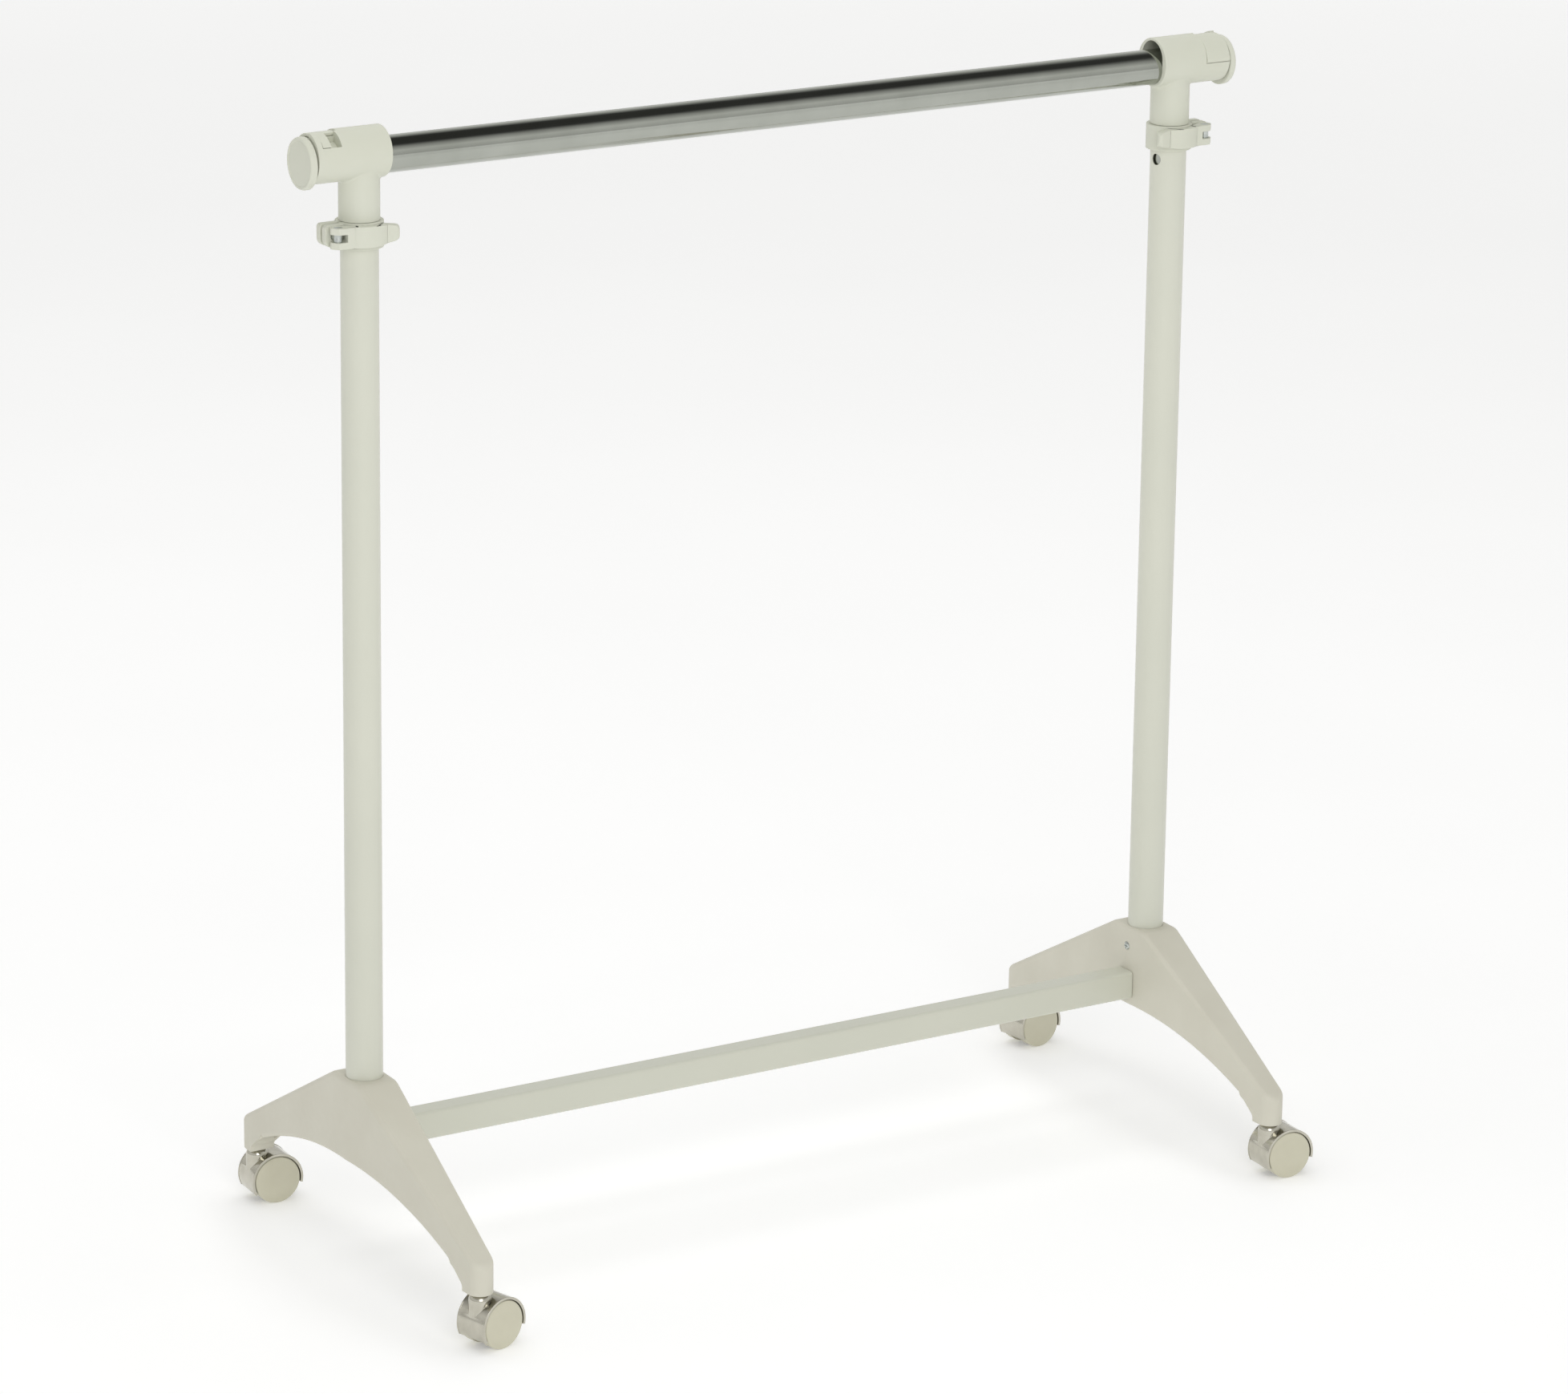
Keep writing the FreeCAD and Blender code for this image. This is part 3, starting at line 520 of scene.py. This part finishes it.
def make_foot(label, side):
    foot = prism(f"{label}_foot_shell", foot_side(), -HUB_HALF - 1, HUB_HALF + 1, ALONG_X_AXIS)
    carve(foot, "INTERSECT", [prism("plan", foot_plan(0), 0, 300)])
    ease_top(foot)
    # each hollow's two ends, and a height below the foot
    near, far, low = 27.0, REACH - BOSS_R - 5, 30.0
    for way in (-1, 1):
        roof = [(way * near, low, 0), (way * near, foot_top(near) - 5, 5)]
        roof += [(way * far, foot_top(far) - 5, 5), (way * far, low, 0)]
        hollow = prism("hollow", eased(roof), -30, 30, ALONG_X_AXIS)
        carve(hollow, "INTERSECT", [prism("plan", foot_plan(SHELL), low - 5, 300)])
        cut(foot, hollow, rod("sleeve_bore", 6.05, low, 63, shift(y=way * REACH)))
    cut(foot, rod("post_bore", POST_R + FIT, POST[0].z, HUB_TOP + 10, steps=96))
    cut(foot, rod("screw_bore", 1.8, -30, -10, shift(z=POST_SCREW_Z) @ ALONG_X_AXIS))
    cut(foot, rod("screw_seat", 3.6, -30, 1.2 - HUB_HALF, shift(z=POST_SCREW_Z) @ ALONG_X_AXIS))
    inset, r = THICK_WALL + FIT, 1.4
    y, low, high = BAR[1].y - inset, BAR[0].z + inset, BAR[1].z - inset
    spigot = eased([(y, low, r), (y, high, r), (-y, high, r), (-y, low, r)], 4)
    spigot = prism("spigot", spigot, -HUB_HALF - SPIGOT, 1 - HUB_HALF, ALONG_X_AXIS)
    cut(spigot, rod("bar_screw_bore", 2.05, low - 5, low + 16, shift(BAR_SCREW_X - POST_X)))
    join(foot, spigot)
    hand_over(foot, "base", f"{label}_foot", FOOT_MOULDING,
              mirror_image(side), 0.3, 2)


# ---- end caps ----
def make_cap(label, side):
    """Round cap with a spigot in the arm, a fine groove to the tee, and a raised rim round its face."""
    face, neck, disc = CAP[1].x, 45.3, 46.3
    spigot_r, groove_r, rim = ARM_R - (THIN_WALL + FIT), CAP_R - 1.0, CAP_R - 2.6
    profile = [(0, neck - 16), (spigot_r, neck - 16), (spigot_r, ARM_OUT + FIT)]
    profile += [(groove_r, ARM_OUT + FIT), (groove_r, disc), (CAP_R - 0.3, disc)]
    profile += [(CAP_R, disc + 0.3), (CAP_R, face - 2.2)]
    profile += [(CAP_R - 0.25, face - 1.2), (CAP_R - 0.8, face - 0.35), (CAP_R - 1.4, face)]
    profile += [(rim + 0.4, face), (rim - 0.3, face - 0.7), (0, face - 0.7)]
    cap = turned(f"{label}_cap", profile, shift(z=RAIL_Z) @ ALONG_X_AXIS)
    hand_over(cap, f"{label}_arm", f"{label}_end_cap", TEE_MOULDING,
              half_turn(side), 0.2)


# ---- rail locks ----
LOCK_Z, LOCK_R, LOCK_ENDS = RAIL_Z + 1.0, 22.0, (22.0, 44.7)
LOCK_IN = LOCK_R - 3
PIN_Y, PIN_Z = -18.0, 919.6


def make_lock(label, side):
    """Arched flap with a hinge knuckle, a narrow tongue and an inner pad. Zero degrees is up."""
    def curve(name, r_in, r_out, start, end, ends, z=LOCK_Z):
        return bend(name, r_in, r_out, start + 90, end + 90, *ends, shift(z=z) @ ALONG_X_AXIS, 24)

    lock = curve(f"{label}_lock_flap", LOCK_IN, LOCK_R, -8, 79, LOCK_ENDS)
    add_bevel(lock, 0.9, 3)
    settle(lock)
    pin = shift(y=PIN_Y, z=PIN_Z) @ ALONG_X_AXIS
    join(lock, curve("tongue", LOCK_IN, LOCK_R, -53, -7, (33.0, 40.0)))
    join(lock, rod("knuckle", 3.4, *LOCK_ENDS, pin))
    join(lock, curve("pad", ARM_R + 2 * GAP, LOCK_R - 1.5, 8, 40, (30.0, 36.0), RAIL_Z))
    cut(lock, rod("pin_bore", 1.35, 0, 60, pin, 32))
    hand_over(lock, f"{label}_lock", f"{label}_rail_lock", TEE_MOULDING,
              half_turn(side), 0.2)
    lock.modifiers["eased_edges"].use_clamp_overlap = True


# ---- height clamps ----
BOLT_X, BOLT_Z, EAR, SPLIT = 26.0, 856.6, 7.5, 1.5
CAM_R, BARREL_R = 6.1, 3.4
PIVOT = (BOLT_X, -EAR - GAP - CAM_R)
LEVER_LOW, LEVER_HIGH = BOLT_Z - 8.4, BOLT_Z + 8.4
COLLAR_R, COLLAR_LOW, COLLAR_HIGH = -COLLAR[0].x, COLLAR[0].z, COLLAR[1].z
LEVER_IN, LEVER_OUT = COLLAR_R + GAP, 24.8


def make_collar(label, side):
    """Split ring round the post's mouth, with two ears for the clamp bolt."""
    collar = rod(f"{label}_collar_ring", COLLAR_R, COLLAR_LOW, COLLAR_HIGH, steps=96)
    low, high, reach = BOLT_Z - 8.8, BOLT_Z + 8.8, BOLT_X + 7.5
    ears = eased([(8, low, 0), (reach, low, 6), (reach, high, 3), (8, high, 0)])
    join(collar, prism("ears", ears, -EAR, EAR, ALONG_Y_AXIS))
    cut(collar, rod("post_bore", POST_R + FIT, COLLAR_LOW - 1, POST[1].z + 0.2, steps=96))
    cut(collar, rod("tube_bore", INNER_R + RUN, COLLAR_LOW, COLLAR_HIGH + 5, steps=96))
    cut(collar, block("split", (5, 60), (-SPLIT, SPLIT), (COLLAR_LOW - 1, COLLAR_HIGH + 1)))
    cut(collar, rod("bolt_bore", 2.55, -20, 20, shift(BOLT_X, 0, BOLT_Z) @ ALONG_Y_AXIS))
    hand_over(collar, "base", f"{label}_collar", TEE_MOULDING,
              mirror_image(side), 0.6)


def make_lever(label, side):
    """Cam lever round the front of the collar, its head forked, its tip turned out and narrowed."""
    def at(r, degrees):
        a = math.radians(degrees)
        return (r * math.sin(a), -r * math.cos(a))

    middle, half = (LEVER_IN + LEVER_OUT) / 2, (LEVER_OUT - LEVER_IN) / 2
    tip_out, tip_r = 28.6, 3.2
    height = (LEVER_LOW, LEVER_HIGH)
    lever = bend(f"{label}_lever_band", LEVER_IN, LEVER_OUT, -126, -52, *height, steps=48)
    join(lever, hull("head", PIVOT, CAM_R, at(middle, 38), half, *height))
    join(lever, hull("tip", at(middle, -36), half, at(tip_out, -48), tip_r, *height))
    tall = (LEVER_LOW - 1, LEVER_HIGH + 1)
    cut(lever, rod("collar_room", LEVER_IN, *tall, steps=96))
    cut(lever, block("ear_room", (-10, 50), (-EAR - GAP, 20), tall))
    start, end = 19, tip_out + tip_r
    taper = [(-60, LEVER_LOW, 0), (start, LEVER_LOW, 16), (end, LEVER_LOW + 3.4, 4)]
    taper += [(end, LEVER_HIGH - 2.0, 4), (start, LEVER_HIGH, 16), (-60, LEVER_HIGH, 0)]
    nose = prism("nose", eased(taper), -80, 25, spin(-138) @ ALONG_Y_AXIS)
    carve(lever, "INTERSECT", [nose])
    cut(lever, block("fork", (20.5, 50), (-40, 0), (BOLT_Z - 3, BOLT_Z + 3)))
    cut(lever, rod("barrel_bore", BARREL_R + RUN, *tall, shift(*PIVOT)))
    cut(lever, block("cam_flat", (CAM_R - 0.9, 20), (-20, 20), tall, shift(*PIVOT) @ spin(-40)))
    hand_over(lever, f"{label}_lever", f"{label}_clamp_lever", TEE_MOULDING,
              mirror_image(side), 0.6, merge=0.01)


# ---- casters, about the swivel axis and trailing along +X ----
AXLE_X, AXLE_Z = 12.0, 20.0
CASTER_TURNS = {"front_left": 14.0, "front_right": -4.0, "back_left": -4.0, "back_right": 7.0}   # degrees
HOOD_IN, HOOD_OUT, HALF_WIDTH, WEB_HALF = 20.6, 22.4, 15.4, 6.2
HOOD_EDGES = -13, 208       # degrees about the axle, zero pointing out behind
WHEEL_R, WHEEL_IN, WHEEL_OUT = 20.0, 6.5, 15.2
NECK_R, NECK_TOP = 9.2, 46.0
ABOUT_AXLE = shift(AXLE_X, 0, AXLE_Z) @ ALONG_Y_AXIS


def caster_place(corner):
    way = (1 if "right" in corner else -1, 1 if "back" in corner else -1)
    return shift(way[0] * POST_X, way[1] * REACH) @ spin(CASTER_TURNS[corner])


def make_hood(corner):
    """Pressed cover over both wheels with a rolled rim each side, a web between, and a domed neck."""
    edge, lip = HOOD_OUT + 0.35, HALF_WIDTH - 1.0
    half = [(HOOD_OUT, lip), (edge, lip), (edge, HALF_WIDTH), (HOOD_IN, HALF_WIDTH), (HOOD_IN, WEB_HALF)]
    section = [(1, -WEB_HALF)] + [(r, -y) for r, y in reversed(half)] + half + [(1, WEB_HALF)]
    hood = turned(f"{corner}_hood", section, ABOUT_AXLE, 128)
    dome = [(8.9, NECK_TOP - 3.7), (8.3, NECK_TOP - 2.4), (7.4, NECK_TOP - 1.3), (6.6, NECK_TOP - 0.6)]
    neck = [(0, 26), (NECK_R, 26), (NECK_R, NECK_TOP - 4.9)] + dome + [(5.6, NECK_TOP), (0, NECK_TOP)]
    neck = turned("neck", neck)
    for way in (-1, 1):
        ends = sorted((way * WEB_HALF, way * 17))
        cut(neck, rod("wheel_room", HOOD_IN + 0.4, *ends, ABOUT_AXLE, 96))
    join(hood, neck)
    far = 40.0
    rim = [(far * math.cos(a), far * math.sin(a)) for a in map(math.radians, HOOD_EDGES)]
    below = [(0, 0), rim[0], (far, -far), (-far, -far), rim[1]]
    cut(hood, prism("open_part", below, -30, 30, ABOUT_AXLE))
    join(hood, rod("axle_boss", 7.0, -WEB_HALF - 0.1, WEB_HALF + 0.1, ABOUT_AXLE, 96))
    cut(hood, rod("axle_bore", 2.05, -20, 20, ABOUT_AXLE), rod("stem_bore", 4.1, 26.3, 60))
    hand_over(hood, f"{corner}_caster", f"{corner}_caster_hood", HOOD_CHROME,
              caster_place(corner), 0.2, merge=0.002)


def make_wheel(corner, which):
    """Cup-shaped wheel: a plain outer disc, a tread and a hub."""
    rim_in, bore = WHEEL_R - 2.4, 2.1
    profile = [(bore, WHEEL_IN), (4.6, WHEEL_IN), (4.6, WHEEL_OUT - 2.4), (rim_in, WHEEL_OUT - 2.4)]
    profile += [(rim_in, WHEEL_IN), (WHEEL_R, WHEEL_IN), (WHEEL_R, WHEEL_OUT - 1.2)]
    profile += [(WHEEL_R - 0.35, WHEEL_OUT - 0.35), (WHEEL_R - 1.2, WHEEL_OUT), (0, WHEEL_OUT), (0, 13.4)]
    profile += [(bore, 13.4)]
    flip = spin(180) if which == "back" else IDENTITY
    wheel = turned(f"{corner}_{which}_wheel_disc", profile,
                   shift(AXLE_X, 0, AXLE_Z) @ flip @ ALONG_Y_AXIS, 128)
    hand_over(wheel, f"{corner}_{which}_wheel", f"{corner}_wheel_{which}", WHEEL_NYLON,
              caster_place(corner), 0.3)


def build_pieces():
    for label, side in (("left", -1), ("right", 1)):
        make_post(label, side)
        make_arm(label, side)
        make_foot(label, side)
        make_cap(label, side)
        make_lock(label, side)
        make_collar(label, side)
        make_lever(label, side)
    make_rail()
    make_bar()
    for corner in CORNERS:
        make_hood(corner)
        for which in ("front", "back"):
            make_wheel(corner, which)


# ---- stage ----
CAMERA_AT = Vector((-2.757, -4.394, 1.979))
CAMERA_AZIMUTH, CAMERA_ELEVATION, CAMERA_ROLL = -32.21, 16.66, 0.742   # degrees
CAMERA_LENS, CAMERA_SENSOR = 152.3, 36.0


def add_camera():
    azimuth, elevation = math.radians(CAMERA_AZIMUTH), math.radians(CAMERA_ELEVATION)
    level = math.cos(elevation)
    back = Vector((math.sin(azimuth) * level, -math.cos(azimuth) * level, math.sin(elevation)))
    right = Vector((math.cos(azimuth), math.sin(azimuth), 0.0))
    axes = Matrix((right, back.cross(right), back)).transposed().to_4x4()
    data = bpy.data.cameras.new("camera")
    data.lens, data.sensor_width = CAMERA_LENS, CAMERA_SENSOR
    camera = bpy.data.objects.new("camera", data)
    bpy.context.scene.collection.objects.link(camera)
    camera.matrix_world = Matrix.Translation(CAMERA_AT) @ axes @ spin(CAMERA_ROLL)
    bpy.context.scene.camera = camera


FLOOR_GLOW = 0.22, 0.62   # the floor is a lit sheet: by the feet, and far off where no panel reaches
GLOW_REACH = 0.8, 7.0     # metres from the middle between which the glow grows


def add_floor():
    size = 30.0
    mesh = bpy.data.meshes.new("floor")
    corners = [(-size, -size, 0), (size, -size, 0), (size, size, 0), (-size, size, 0)]
    mesh.from_pydata(corners, [], [(0, 1, 2, 3)])
    floor = bpy.data.objects.new("floor", mesh)
    bpy.context.scene.collection.objects.link(floor)
    finish = Finish("floor_paint", 0.8, Emission_Color=(1.0, 1.0, 1.0, 1.0))
    finish.colour(finish.grain(2.0, 2.0), (0.93, 0.93, 0.93), (0.915, 0.915, 0.915))
    distance = finish.add("VectorMath")
    distance.operation = "LENGTH"
    finish.feed(distance.inputs[0], finish.coords)
    glow = finish.add("MapRange", Value=distance.outputs["Value"])
    for socket, edge in zip(("From Min", "From Max", "To Min", "To Max"), GLOW_REACH + FLOOR_GLOW):
        glow.inputs[socket].default_value = edge
    finish.feed(finish.shader.inputs["Emission Strength"], glow.outputs["Result"])
    mesh.materials.append(finish.material)


def add_panel(name, at, aim, width, height, power, mirrored):
    """Soft panel light at a point, turned to face another. Chrome shows it if mirrored is true."""
    data = bpy.data.lights.new(name, "AREA")
    data.shape, data.size, data.size_y, data.energy = "RECTANGLE", width, height, power
    light = bpy.data.objects.new(name, data)
    bpy.context.scene.collection.objects.link(light)
    light.location = at
    light.rotation_mode = "QUATERNION"
    light.rotation_quaternion = (Vector(at) - Vector(aim)).to_track_quat("Z", "Y")
    light.visible_glossy = mirrored


def add_room_light():
    """Even light from all sides, with a dark ceiling overhead that the chrome mirrors."""
    world = bpy.data.worlds.new("studio")
    bpy.context.scene.world = world
    world.use_nodes = True
    nodes, links = world.node_tree.nodes, world.node_tree.links
    coords = nodes.new("ShaderNodeTexCoord")
    parts = nodes.new("ShaderNodeSeparateXYZ")
    ramp = nodes.new("ShaderNodeValToRGB")
    links.new(coords.outputs["Generated"], parts.inputs["Vector"])
    links.new(parts.outputs["Z"], ramp.inputs["Fac"])
    stops = ramp.color_ramp.elements
    stops[0].position, stops[0].color = 0.0, (0.62, 0.62, 0.61, 1.0)
    stops[1].position, stops[1].color = 1.0, (0.05, 0.05, 0.045, 1.0)
    for position, value in ((0.40, 0.80), (0.66, 0.42), (0.80, 0.05)):
        stop = stops.new(position)
        stop.color = (value, value, value * 0.98, 1.0)
    links.new(ramp.outputs["Color"], nodes["Background"].inputs["Color"])
    nodes["Background"].inputs["Strength"].default_value = 1.0


dress_kept_nodes()
build_pieces()
add_camera()
add_floor()
add_room_light()
add_panel("key_panel", (-1.4, -3.6, 2.3), (0, 0, 0.5), 2.2, 2.0, 46.0, True)
add_panel("ceiling_panel", (0.0, 0.4, 3.4), (0, 0, 0), 4.0, 4.0, 70.0, False)
bpy.context.scene.view_settings.view_transform = "Standard"
